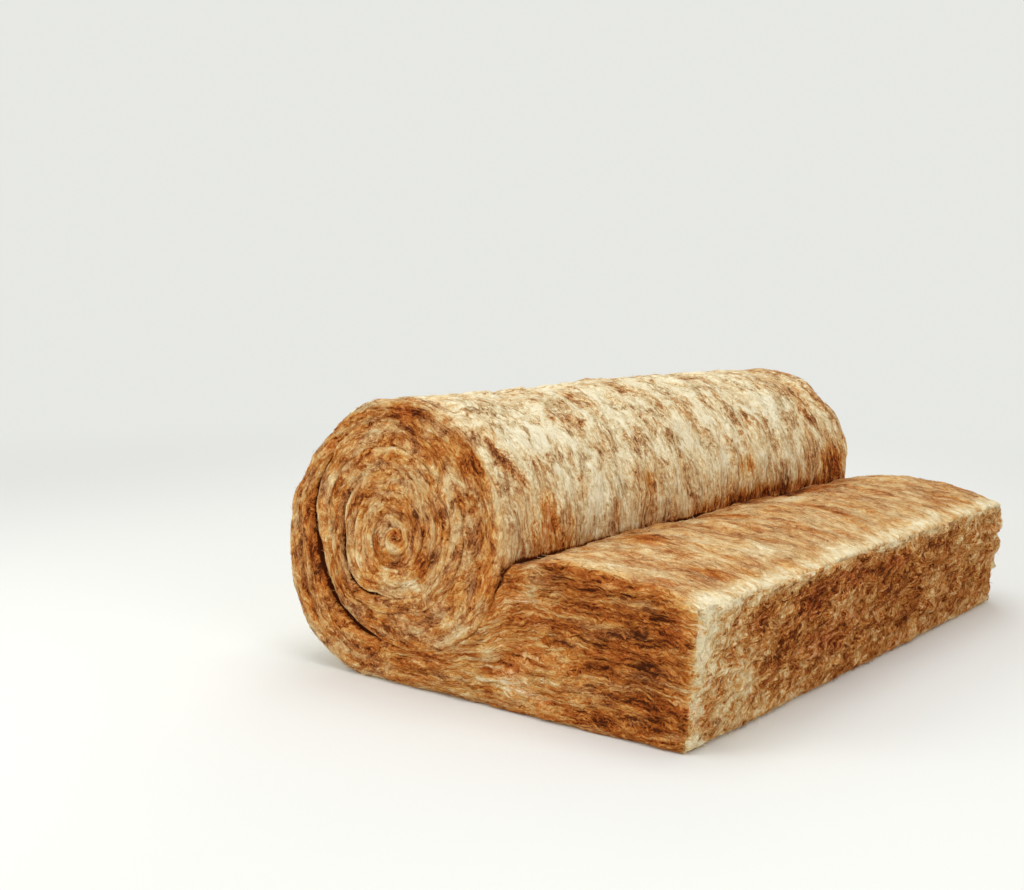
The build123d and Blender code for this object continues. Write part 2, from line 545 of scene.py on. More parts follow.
def vertexNormals(points, faces):
    p = points[faces]
    cross = np.cross(p[:, 1] - p[:, 0], p[:, 2] - p[:, 0])
    total = np.zeros_like(points)
    for corner in range(3):
        np.add.at(total, faces[:, corner], cross)
    return total / np.maximum(np.linalg.norm(total, axis=1), 1e-12)[:, None]


def vertexMean(faces, values, count):
    # the mean of what a vertex's triangles say at it
    shape = (count,) + values.shape[2:]
    total, weight = np.zeros(shape), np.zeros(count)
    for corner in range(3):
        np.add.at(total, faces[:, corner], values[:, corner])
        np.add.at(weight, faces[:, corner], 1.0)
    weight = np.maximum(weight, 1)
    return total / (weight[:, None] if total.ndim > 1 else weight)


def meshObject(name, points, faces, material):
    mesh = bpy.data.meshes.new(name)
    mesh.vertices.add(len(points))
    mesh.vertices.foreach_set("co", points.astype(np.float32).ravel())
    mesh.loops.add(3 * len(faces))
    mesh.loops.foreach_set("vertex_index", faces.astype(np.int32).ravel())
    mesh.polygons.add(len(faces))
    mesh.polygons.foreach_set("loop_start", np.arange(0, 3 * len(faces), 3, dtype=np.int32))
    mesh.polygons.foreach_set("use_smooth", np.ones(len(faces), dtype=bool))
    mesh.update(calc_edges=True)
    mesh.validate()
    piece = bpy.data.objects.new(name, mesh)
    bpy.context.scene.collection.objects.link(piece)
    if material:
        mesh.materials.append(material)
    return piece


print("relief")

edges = np.unique(np.sort(np.concatenate((faces[:, :2], faces[:, 1:], faces[:, ::2])), axis=1), axis=0)


def soften(values, times):
    # each point's value moves towards its neighbours'
    for _ in range(times):
        total, count = values.copy(), np.ones(len(values))
        for a, b in ((0, 1), (1, 0)):
            np.add.at(total, edges[:, a], values[edges[:, b]])
            np.add.at(count, edges[:, a], 1.0)
        values = total / (count[:, None] if values.ndim > 1 else count)
    return values


flowAt = vertexMean(faces, flows * (1, 1, mat["unrolled"]), len(points))
zoneShare = vertexMean(faces, np.repeat(np.eye(6)[zones][:, None], 3, 1), len(points))
zoneShare = soften(zoneShare, 2)


def grain(places, scale, octaves=2, seed=0.0):
    # smooth noise, drawn out along the fibres by its three scales
    shift = Vector((seed, 1.7 * seed, 0.4 * seed))
    rows = (places * scale).tolist()
    return np.array([noise.fractal(Vector(row) + shift, 0.8, 2.1, octaves) for row in rows])


# patches and dents that stand out: where, how far they reach each way, paler by, rustier by, out by
marks = (
    # on the near end of the coil
    ((-0.004, -0.60, 0.436), (0.028, 0.03, 0.014), -0.16, 0.9, 0.0),
    ((-0.162, -0.60, 0.369), (0.016, 0.03, 0.018), -0.10, 0.7, 0.0),
    ((0.071, -0.60, 0.384), (0.030, 0.03, 0.012), -0.16, 0.6, 0.0),
    ((0.126, -0.60, 0.372), (0.020, 0.03, 0.016), -0.12, 0.7, 0.0),
    ((-0.071, -0.60, 0.169), (0.020, 0.03, 0.018), -0.10, 0.8, 0.0),
    ((0.033, -0.60, 0.205), (0.014, 0.03, 0.020), -0.10, 0.8, 0.0),
    ((-0.012, -0.60, 0.246), (0.012, 0.03, 0.008), -0.20, 0.8, 0.0),
    ((-0.003, -0.60, 0.231), (0.007, 0.03, 0.010), -0.17, 0.6, 0.0),
    ((-0.036, -0.60, 0.239), (0.007, 0.03, 0.010), -0.15, 0.5, 0.0),
    ((-0.018, -0.60, 0.237), (0.007, 0.03, 0.006), 0.24, -0.3, 0.0),
    ((0.005, -0.60, 0.064), (0.045, 0.03, 0.010), -0.16, 0.6, 0.0),
    ((0.172, -0.60, 0.178), (0.014, 0.04, 0.030), -0.20, 0.5, 0.0),
    ((0.093, -0.60, 0.336), (0.016, 0.03, 0.020), 0.34, -0.3, 0.0),
    ((0.017, -0.60, 0.168), (0.022, 0.03, 0.010), 0.34, -0.3, 0.0),
    ((0.100, -0.60, 0.114), (0.030, 0.03, 0.018), 0.30, -0.3, 0.0),
    ((0.165, -0.60, 0.094), (0.016, 0.03, 0.014), 0.30, -0.2, 0.003),
    ((-0.236, -0.60, 0.322), (0.012, 0.06, 0.010), -0.20, 0.3, -0.008),
    ((-0.252, -0.60, 0.282), (0.020, 0.06, 0.026), 0.16, 0.0, 0.003),
    # on the coil's skin
    ((0.152, -0.56, 0.381), (0.030, 0.018, 0.040), -0.22, 0.6, 0.0),
    ((0.186, -0.535, 0.330), (0.020, 0.016, 0.034), -0.16, 0.5, 0.0),
    ((0.078, -0.251, 0.437), (0.030, 0.018, 0.020), -0.34, 0.2, -0.002),
    ((0.122, -0.233, 0.411), (0.022, 0.012, 0.020), -0.30, 0.2, -0.002),
    ((0.128, -0.049, 0.417), (0.024, 0.014, 0.020), -0.34, 0.3, 0.0),
    ((0.150, -0.100, 0.390), (0.018, 0.012, 0.022), -0.26, 0.3, 0.0),
    ((0.161, 0.172, 0.379), (0.018, 0.014, 0.026), -0.34, 0.4, -0.002),
    ((0.114, 0.484, 0.410), (0.034, 0.030, 0.020), -0.20, 0.5, 0.0),
    ((0.166, -0.290, 0.366), (0.010, 0.006, 0.034), -0.55, 0.3, -0.003),
    ((0.200, 0.520, 0.272), (0.020, 0.050, 0.026), -0.24, 0.6, 0.0),
    ((0.193, -0.188, 0.311), (0.020, 0.026, 0.018), -0.18, 0.9, 0.0),
    ((0.194, 0.147, 0.297), (0.020, 0.034, 0.022), -0.18, 0.9, 0.0),
    ((0.192, -0.480, 0.288), (0.020, 0.026, 0.034), -0.24, 1.1, 0.0),
    ((0.196, -0.490, 0.246), (0.020, 0.045, 0.020), -0.22, 0.7, 0.0),
    ((0.196, -0.466, 0.268), (0.012, 0.008, 0.010), -0.70, 0.8, -0.007),
    ((0.129, -0.447, 0.409), (0.034, 0.040, 0.026), 0.16, -0.3, 0.002),
    ((0.161, -0.173, 0.371), (0.020, 0.030, 0.030), 0.18, -0.3, 0.002),
    ((0.193, -0.339, 0.290), (0.020, 0.050, 0.045), 0.16, -0.3, 0.0),
    ((0.137, 0.330, 0.404), (0.030, 0.040, 0.024), 0.18, -0.3, 0.002),
    # on the tail's top
    ((0.298, -0.373, 0.245), (0.045, 0.024, 0.020), -0.30, 0.5, 0.0),
    ((0.287, -0.086, 0.246), (0.050, 0.022, 0.020), -0.26, 0.6, 0.0),
    ((0.225, 0.320, 0.236), (0.034, 0.160, 0.020), -0.30, 0.4, -0.002),
    ((0.222, 0.100, 0.236), (0.020, 0.070, 0.020), -0.34, 0.4, -0.002),
    ((0.400, 0.104, 0.236), (0.045, 0.016, 0.020), -0.22, 0.4, 0.0),
    ((0.462, -0.450, 0.229), (0.026, 0.018, 0.020), -0.26, 0.5, 0.0),
    ((0.368, -0.560, 0.240), (0.050, 0.030, 0.020), 0.22, -0.2, 0.0),
    ((0.434, -0.241, 0.232), (0.040, 0.040, 0.020), 0.20, -0.2, 0.0),
    ((0.303, 0.161, 0.240), (0.050, 0.040, 0.020), 0.20, -0.2, 0.002),
    ((0.522, 0.318, 0.212), (0.010, 0.012, 0.010), -0.60, 0.4, -0.012),
    # on the tail's near side
    ((0.336, -0.60, 0.212), (0.050, 0.02, 0.008), -0.10, 0.3, 0.0),
    ((0.408, -0.60, 0.214), (0.034, 0.02, 0.006), -0.16, 0.2, 0.0),
    ((0.498, -0.60, 0.176), (0.026, 0.02, 0.026), -0.10, 0.6, 0.0),
    # thin slits, dented in; their darker wool is painted shade in them
    ((0.405, -0.60, 0.127), (0.020, 0.02, 0.005), -0.20, 0.1, -0.004),
    ((0.438, -0.60, 0.120), (0.022, 0.02, 0.005), -0.20, 0.1, -0.005),
    ((0.438, -0.60, 0.073), (0.022, 0.02, 0.005), -0.20, 0.1, -0.005),
    ((0.470, -0.60, 0.067), (0.022, 0.02, 0.005), -0.20, 0.1, -0.004),
    ((0.476, -0.60, 0.041), (0.024, 0.02, 0.006), -0.26, 0.0, -0.007),
    ((0.375, -0.60, 0.033), (0.024, 0.02, 0.006), -0.16, 0.2, -0.003),
    ((0.238, -0.60, 0.125), (0.014, 0.02, 0.007), -0.30, 0.2, -0.003),
    ((0.299, -0.60, 0.098), (0.050, 0.02, 0.020), 0.24, -0.1, 0.003),
    ((0.247, -0.60, 0.188), (0.020, 0.02, 0.030), 0.18, -0.2, 0.0),
    ((0.215, -0.60, 0.046), (0.060, 0.02, 0.012), 0.24, -0.1, 0.0),
    # on the cut end
    ((0.529, -0.236, 0.156), (0.02, 0.050, 0.024), -0.26, 0.8, -0.005),
    ((0.532, -0.098, 0.176), (0.02, 0.060, 0.016), -0.16, 0.8, -0.003),
    ((0.541, 0.064, 0.168), (0.02, 0.050, 0.016), -0.14, 0.8, 0.0),
    ((0.525, -0.168, 0.078), (0.02, 0.060, 0.024), -0.18, 0.7, -0.003),
    ((0.528, -0.415, 0.159), (0.02, 0.030, 0.014), -0.16, 0.5, -0.003),
    ((0.538, -0.540, 0.160), (0.02, 0.030, 0.030), 0.08, -0.1, 0.0),
    ((0.526, -0.451, 0.062), (0.02, 0.050, 0.020), 0.14, -0.2, 0.002),
    ((0.523, 0.258, 0.066), (0.02, 0.060, 0.020), 0.14, 0.0, 0.002),
    ((0.530, 0.600, 0.166), (0.014, 0.014, 0.013), 0.40, -0.3, 0.009),
    ((0.528, 0.600, 0.120), (0.014, 0.014, 0.013), 0.40, -0.3, 0.009),
    ((0.524, 0.600, 0.074), (0.014, 0.014, 0.013), 0.40, -0.3, 0.009),
)


def markShare(mark):
    return np.exp(-(((points - mark[0]) / mark[1]) ** 2).sum(1))


relief = {
    # height, then how often it repeats along, across and through the mat
    "lumps": (0.0045, (4.5, 6.0, 11.0)),
    "ridges": (0.0055, (12.0, 26.0, 50.0)),
    "tufts": (0.0034, (24.0, 48.0, 76.0)),
    "hollows": (0.0070, (9.0, 13.0, 28.0)),
    # how strong on the coil's skin, its ends, the tail's sides, the tail's top, the cut, the underside
    "byZone": (1.0, 0.6, 0.8, 0.9, 0.9, 0.3),
    "tuftsByZone": (0.45, 0.7, 0.5, 0.3, 1.6, 0.1),
    "hollowsByZone": (0.30, 0.10, 0.0, 0.2, 1.0, 0.0),
    "bends": (0.04, (5, 8, 12)),  # how far the pattern is pushed about, and how often
    "slant": 0.35,
    "flatFoot": (0.75, 0.01, 0.06),  # how much flatter the cut is at its foot, and up to where
    "sag": (0.010, -0.1, 0.1),  # the coil's top towards the far end: how far, from which y and z
}


def reliefHeight():
    flatter, start, end = relief["flatFoot"]
    foot = 1 - flatter * zoneShare[:, cutEnd] * (1 - smoothStep(points[:, 2], start, end))
    byZone = [relief[name] for name in ("byZone", "tuftsByZone", "hollowsByZone")]
    share, tuftShare, hollowShare = np.array(byZone) @ zoneShare.T * foot
    reach, scale = relief["bends"]
    places = flowAt + reach * np.stack([grain(flowAt, scale, 1, seed) for seed in (3.1, 8.2, 5.7)], 1)
    slanted = places + places[:, :1] * (0, relief["slant"], 0)

    def layer(name, at, octaves, seed):
        high, scale = relief[name]
        return high * grain(at, scale, octaves, seed)

    height = share * (layer("lumps", flowAt, 1, 11.0) + layer("ridges", slanted, 3, 0.0))
    height += tuftShare * layer("tufts", places, 2, 4.0)
    return height + hollowShare * layer("hollows", places, 2, 7.0)


def holdAt():
    # the creases keep their shape
    hold = np.ones(len(points))
    skinPoints = rowCount * loopCount
    hold[:skinPoints] = np.tile(1 - 0.85 * bell(np.arange(loopCount), creaseColumn, 5), rowCount)
    perEnd = len(layout.points) - loopCount
    for start in (skinPoints, skinPoints + perEnd):
        hold[start : start + creaseCount] = 0.1
    return hold


outwards = vertexNormals(points, faces)
markShares = [markShare(mark) for mark in marks]
dents = sum(mark[4] * share for mark, share in zip(marks, markShares))
points = points + outwards * (reliefHeight() * holdAt() + dents)[:, None]
sag, fromY, fromZ = relief["sag"]
sag = sag * smoothStep(points[:, 1], fromY, halfWidth) * smoothStep(points[:, 2], fromZ, coilHeight)
points[:, 2] = np.maximum(points[:, 2] - sag, 0.0)


mouth = {
    # along the coil: where, how much higher the tail's top meets it there, how high the painted
    # shadow above the crease reaches up the coil, and how dark the crease's painted shade is
    "along": (
        (-0.60, 0.0, 0.222, 1.2),
        (-0.55, -0.002, 0.222, 1.2),
        (-0.47, 0.003, 0.229, 0.9),
        (-0.40, 0.004, 0.231, 0.8),
        (-0.34, 0.003, 0.230, 1.1),
        (-0.27, 0.007, 0.231, 1.4),
        (-0.20, 0.005, 0.233, 1.3),
        (-0.15, 0.005, 0.235, 0.9),
        (-0.07, 0.001, 0.233, 1.3),
        (0.0, 0.006, 0.240, 1.2),
        (0.09, 0.009, 0.246, 0.9),
        (0.16, 0.010, 0.250, 0.9),
        (0.28, 0.006, 0.245, 0.9),
        (0.50, 0.005, 0.235, 0.9),
        (0.60, 0.0, 0.232, 0.9),
    ),
    "leans": 0.2,  # how far from the coil the top moves as it rises
    "run": 10.0,  # columns of the tail's top over which the rise dies out
    "shade": 0.012,  # metres that the long crease counts as deep, for its painted shade
    "endShade": 0.3,  # the share of it that is left at both ends
    "wall": (4, 8.5),  # columns from the crease's foot over which that fades
    "open": (0.0028, 0.004),  # metres at the ends that don't count as deep, on the crease and beside it
}
mouthAt = dict(zip(("place", "rise", "shadeTop", "dark"), np.array(mouth["along"]).T))


def alongMouth(name, y):
    return np.interp(y, mouthAt["place"], mouthAt[name])


def waveMouth():
    # the wall of the crease and the tail's shoulder move up along the coil's side
    after = np.arange(loopCount) - creaseColumn
    share = smoothStep(after, 0, 6) * (1 - smoothStep(after, 10, 10 + mouth["run"])) * (after > 0)
    rise = np.outer(alongMouth("rise", rowY), share).ravel()
    points[: len(rise), 2] += rise
    points[: len(rise), 0] += mouth["leans"] * rise


waveMouth()


def wanderAtEnds():
    # the turns don't lie in true rounds: near both ends they wander a little in their own plane
    share = smoothStep(np.abs(points[:, 1]), halfWidth - 0.10, halfWidth - 0.02)
    share = share * (1 - zoneShare[:, underside]) * smoothStep(points[:, 2], 0.01, 0.06)
    inside = 1 - zoneShare[:, coilSkin]
    sideways, upwards = (0.0045 * grain(points, (13, 3, 13), 1, seed) for seed in (21.0, 32.0))
    finer = [0.0026 * inside * grain(points, (34, 3, 34), 1, seed) for seed in (5.0, 17.0)]
    return np.stack((sideways + finer[0], 0 * share, upwards + finer[1]), 1) * share[:, None]


points = points + wanderAtEnds()


def pushAtEnd(middle, push, reach):
    # the near end's turns give way round a place, at (x, z)
    away = np.hypot(points[:, 0] - middle[0], points[:, 2] - middle[1])
    share = bell(away, 0, reach) * smoothStep(-points[:, 1], halfWidth - 0.10, halfWidth - 0.03)
    points[:, 0] += push[0] * share
    points[:, 2] += push[1] * share


pushAtEnd((-0.105, 0.165), (-0.012, -0.017), 0.045)
points[:, 2] = np.maximum(points[:, 2], 0.0)

print("where the wool is pale")


def sunkAt():
    # how far each point lies in a crease, which darkens and warms the wool's colour as painted shade; along
    # the long crease beside the tail it is a given depth, not the mesh's
    sunk = np.zeros(len(points))
    place = np.arange(loopCount)
    full, none = mouth["wall"]
    coilWall = smoothStep(place, creaseColumn - none, creaseColumn - full - 1) * (place <= creaseColumn)
    tailWall = (1 - smoothStep(place, creaseColumn + full, creaseColumn + none)) * (place > creaseColumn)
    nearEnd = smoothStep(np.abs(rowY), halfWidth - 0.05, halfWidth - 0.01)
    alongWall = mouth["shade"] * (1 - (1 - mouth["endShade"]) * nearEnd) * alongMouth("dark", rowY)
    sunk[: rowCount * loopCount] = np.outer(alongWall, coilWall + tailWall).ravel()
    inner = np.array(layout.sunk)[loopCount:]
    inner = np.maximum(inner - np.where(np.arange(len(inner)) < creaseCount, *mouth["open"]), 0)
    sunk[rowCount * loopCount :] = np.concatenate((inner, inner))
    return sunk


sunk = sunkAt()


def depthShare():
    # how deep in its turn each point of the ends lies: 0 at the outer face, 1 at the inner
    shares = np.array([[corner[2] for corner in t] for t in endTriangles])
    ids = np.array([[corner[0] for corner in t] for t in endTriangles])
    flat = vertexMean(ids, shares, len(layout.points))
    skin = np.tile(flat[:loopCount], rowCount)
    return np.concatenate((skin, flat[loopCount:], flat[loopCount:]))


wool = {
    # the coil's skin, its ends, the tail's sides, the tail's top, the cut, the underside
    "pale": (0.725, 0.41, 0.37, 0.515, 0.42, 0.50),
    "warm": (0.22, 0.80, 1.08, 0.60, 1.12, 0.50),
    "matted": (0.9, 0.8, 0.0, 0.45, 0.75, 0.5),  # 0 where it is combed along the blanket
    "crisp": (2.1, 1.5, 1.2, 1.15, 2.5, 1.0),  # contrast of the streaks
    "combedByTail": 0.5,  # how much of its matting the skin loses low down beside the tail
    "frayed": 0.05,  # how far the pale strips by the cut fray, in metres
    # how far the top of the painted shadow above the tail's top wavers, in metres
    "shadeTopFray": 0.010,
}


def woolTint():
    # how pale, how rusty and how matted the wool is at each point
    x, y, z = points.T
    pale, warm, matted = (zoneShare @ np.array(wool[name]) for name in ("pale", "warm", "matted"))
    skin, end, side, top, cut = zoneShare[:, :5].T
    matted -= skin * wool["combedByTail"] * smoothStep(x, 0.08, 0.18) * (1 - smoothStep(z, 0.27, 0.38))
    nearCrease = smoothStep(x, 0.10, 0.19) * (1 - smoothStep(z, 0.25, 0.34))
    # painted shadow on the coil's skin just above where the tail's top meets it
    shadeTop = alongMouth("shadeTop", y) + wool["shadeTopFray"] * grain(points, (1, 26, 26), 2, 15.0)
    contactShade = smoothStep(x, 0.15, 0.19) * (1 - smoothStep(z, shadeTop - 0.008, shadeTop + 0.006))
    fromEye = np.hypot(x - eye[0], z - eye[1])
    ring = bell(fromEye, 0.019, 0.008) * (0.8 + grain(points, (34, 1, 34), 2, 3.0))
    depth = depthShare()
    wound = np.interp(flowAt[:, 0], coilTravels, columnAngles)
    band = bell(depth, 0.12, 0.20) * bells(wound, ((0.30, 1142, 80), (0.20, 1500, 70)))
    band += bell(depth, 0.04, 0.10) * bells(wound, ((0.24, 90, 55), (0.10, 440, 60)))
    # painted shade on the inner side of the outermost turn, beside the wide crease
    inside = smoothStep(depth, 0.45, 0.95) * bell(wound, 66, 55)
    fromCut = cutFoot[0] + (cutTop[0] - cutFoot[0]) * z / cutTop[1] - x
    fray = wool["frayed"] * grain(points, (30, 30, 40), 2, 12.0)
    shades = (
        # where, paler by, rustier by; the skin by the crease, towards both ends, and painted shadow above
        # the tail's top
        (skin, nearCrease, -0.10, 0.30),
        (skin, smoothStep(-y, 0.50, 0.60), -0.16, 0.0),
        (skin, smoothStep(y, 0.30, 0.58), -0.18, 0.25),
        (skin, contactShade, -0.22, 0.40),
        (skin, contactShade * bell(y, 0.18, 0.20), -0.12, 0.30),
        # the eye, the turns' outer faces, and painted shade on the inside of the outermost turn beside the
        # wide crease
        (end, ring, 0.24, -0.3),
        (end, bell(fromEye, 0.0, 0.009), -0.14, 0.6),
        (end, bell(depth, 0.06, 0.10), 0.05, 0.0),
        (end, band, 1.0, -0.8),
        (end, inside, -0.22, 0.5),
        # the tail's sides, from the coil to the pale strip by the cut
        (side, smoothStep(-x, -0.34, -0.20), 0.10, 0.0),
        (side, smoothStep(x, 0.33, 0.48), -0.09, 0.0),
        (side, 1 - smoothStep(fromCut + fray, 0.0, 0.032), 0.32, 0.0),
        # its top, at the cut and by the coil
        (top, 1 - smoothStep(fromCut, 0.018, 0.050), 0.38, 0.0),
        (top, smoothStep(-x, -0.27, -0.21), -0.10, 0.0),
        # the cut, at its near edge, far edge, top and foot, and across its middle
        (cut, smoothStep(-y, 0.36, 0.50), 0.17, -0.10),
        (cut, smoothStep(-y - fray, 0.54, 0.59), 0.42, 0.0),
        (cut, smoothStep(y, 0.55, 0.60), 0.22, 0.0),
        (cut, smoothStep(z, 0.176, 0.204), 0.22, 0.0),
        (cut, smoothStep(z, 0.172, 0.204), 0.0, -0.4),
        (cut, 1 - smoothStep(z, 0.004, 0.022), 0.16, 0.0),
        (cut, bell(y, 0.0, 0.25), -0.10, 0.0),
    )
    for zone, share, paler, rustier in shades:
        pale += paler * zone * share
        warm += rustier * zone * share
    for mark, share in zip(marks, markShares):
        pale += mark[2] * share
        warm += mark[3] * share
    return np.stack((pale, warm, matted), 1)


tint = soften(woolTint(), 1)


def storeVectors(mesh, name, domain, values):
    layer = mesh.attributes.new(name, "FLOAT_VECTOR", domain)
    layer.data.foreach_set("vector", values.astype(np.float32).ravel())


def storeNumbers(mesh, name, values):
    layer = mesh.attributes.new(name, "FLOAT", "POINT")
    layer.data.foreach_set("value", values.astype(np.float32).ravel())


print("wool finish")


def node(tree, kind, **values):
    made = tree.nodes.new(kind)
    row, column = divmod(len(tree.nodes) - 1, 10)
    made.location = (220 * column - 2400, -260 * row)  # ten to a row, clear of the shader
    for name, value in values.items():
        setattr(made, name, value)
    return made


fleeceLook = {
    # each layer of the pattern: how often it repeats along, across and through the mat, in a metre,
    # where in the noise it starts, its detail and its roughness
    "layers": {
        "bends": ((7.0, 10.0, 18.0), (0.0, 0.0, 0.0), 2.0, 0.56),
        "curls": ((60.0, 75.0, 80.0), (0.0, 0.0, 0.0), 2.0, 0.56),
        "broad": ((4.0, 7.0, 12.0), (3.0, 1.0, 6.0), 2.0, 0.56),
        "combedPatches": ((8.0, 30.0, 70.0), (0.0, 0.0, 0.0), 3.0, 0.56),
        "mattedPatches": ((26.0, 20.0, 60.0), (2.0, 5.0, 3.0), 3.0, 0.56),
        "combedStreaks": ((24.0, 150.0, 300.0), (7.0, 3.0, 1.0), 3.0, 0.56),
        "mattedStreaks": ((90.0, 90.0, 190.0), (1.0, 4.0, 9.0), 3.0, 0.56),
        "combedFibres": ((130.0, 640.0, 640.0), (1.0, 9.0, 4.0), 3.0, 0.65),
        "mattedFibres": ((330.0, 380.0, 520.0), (2.0, 7.0, 5.0), 3.0, 0.65),
        "combedFolds": ((9.0, 60.0, 85.0), (5.0, 5.0, 2.0), 2.0, 0.56),
        "mattedFolds": ((24.0, 30.0, 44.0), (6.0, 8.0, 2.0), 2.0, 0.56),
        "combedBlots": ((10.0, 34.0, 44.0), (8.0, 6.0, 3.0), 3.0, 0.56),
        "mattedBlots": ((18.0, 20.0, 40.0), (4.0, 2.0, 8.0), 3.0, 0.56),
        "slits": ((14.0, 110.0, 165.0), (2.0, 8.0, 5.0), 2.0, 0.56),
    },
    "bendReach": (0.09, 0.06, 0.035),  # metres that the pattern is pushed about, in bends
    "curlReach": (0.016, 0.012, 0.014),  # and in small curls
    "combing": 1.35,  # contrast of the combed streaks
    "foldThinness": 22.0,
    "foldsInBlots": 4.0,  # how sharply the folds keep to the rusty blots
    "marbling": (0.37, 0.63),  # the range of the patches' noise from dark to pale
    "slitEdge": (0.60, 0.76),
    "darkWool": (0.30, 0.06),  # paleness at which slits become more, and most
    "slitsInDark": 0.16,
    "uneven": 0.3,  # how patchy any wool is, and more where it is matted or crisp
    "unevenIf": 0.25,
    "smearsBelow": 0.65,
    "creaseShade": (0.0015, 0.0065),  # metres down in a crease from light to dark, for the painted shade
    "strength": {
        "patches": 0.44,
        "broad": 0.8,
        "streaks": 1.0,
        "fibres": 0.8,
        "folds": 0.24,
        "slits": 0.34,
        "creases": 0.9,
        "blots": 2.4,
        "creaseShadeWarmth": 0.3,
        "redness": 1.2,
    },
    "reddest": (1.0, 0.80, 0.90),
    "height": {"streaks": 1.3, "fibres": 0.5, "patches": 0.8, "folds": 0.45},
}
creamWool = (
    (0.0, (0.17, 0.060, 0.022)),
    (0.20, (0.36, 0.190, 0.080)),
    (0.40, (0.54, 0.370, 0.180)),
    (0.60, (0.70, 0.555, 0.315)),
    (0.80, (0.82, 0.715, 0.475)),
    (1.0, (0.92, 0.84, 0.62)),
)
rustWool = (
    (0.0, (0.075, 0.016, 0.003)),
    (0.20, (0.35, 0.085, 0.012)),
    (0.40, (0.54, 0.185, 0.032)),
    (0.60, (0.68, 0.360, 0.100)),
    (0.80, (0.80, 0.570, 0.260)),
    (1.0, (0.90, 0.77, 0.50)),
)
fleeceSockets = (
    ("Flow", "INPUT", "Vector"),  # the place in the mat
    ("Tint", "INPUT", "Vector"),  # how pale, how rusty and how matted
    ("Sunk", "INPUT", "Float"),  # metres down in a crease, where the colour is darkened as painted shade
    ("Crisp", "INPUT", "Float"),
    ("Tone", "INPUT", "Float"),  # paler by
    ("Colour", "OUTPUT", "Color"),
    ("Height", "OUTPUT", "Float"),
)


